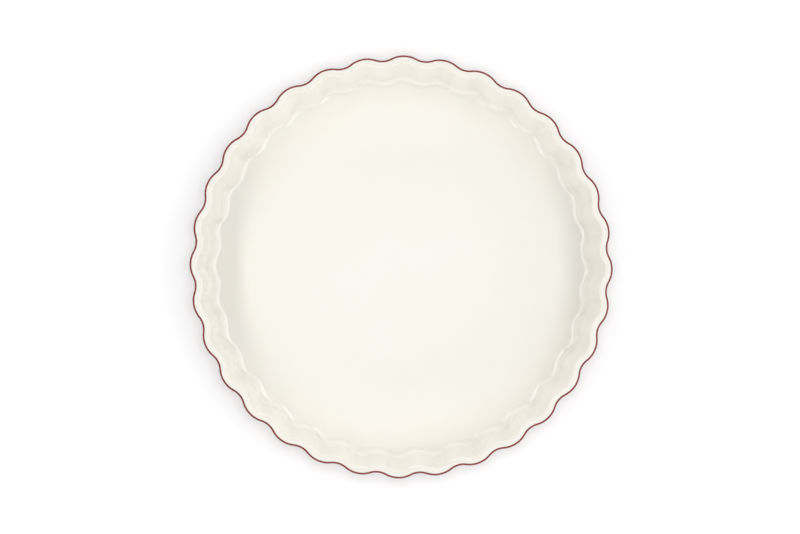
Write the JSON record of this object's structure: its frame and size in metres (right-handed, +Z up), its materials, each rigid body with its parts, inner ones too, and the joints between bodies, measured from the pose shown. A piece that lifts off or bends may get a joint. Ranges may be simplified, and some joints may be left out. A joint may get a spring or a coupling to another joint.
{
  "type": "fluted quiche dish",
  "caption": "Round baking dish of glazed stoneware with a fluted, slightly leaning wall, a flat rim and a level floor, for quiches and open tarts.",
  "frame": {"origin": "middle of the flat base that the dish rests on", "axes": "+Z up along the dish's own axis, +X through the crest of one flute"},
  "size_m": [0.28, 0.28, 0.045],
  "materials": {
    "bare_stoneware": "matt, unglazed",
    "cream_glaze": "gloss glaze",
    "red_glaze": "gloss glaze"
  },
  "bodies": {
    "root": {"stoneware_body": "bare_stoneware", "inner_glaze": "cream_glaze", "outer_glaze": "red_glaze", "underside_glaze": "red_glaze"}
  },
  "joints": []
}
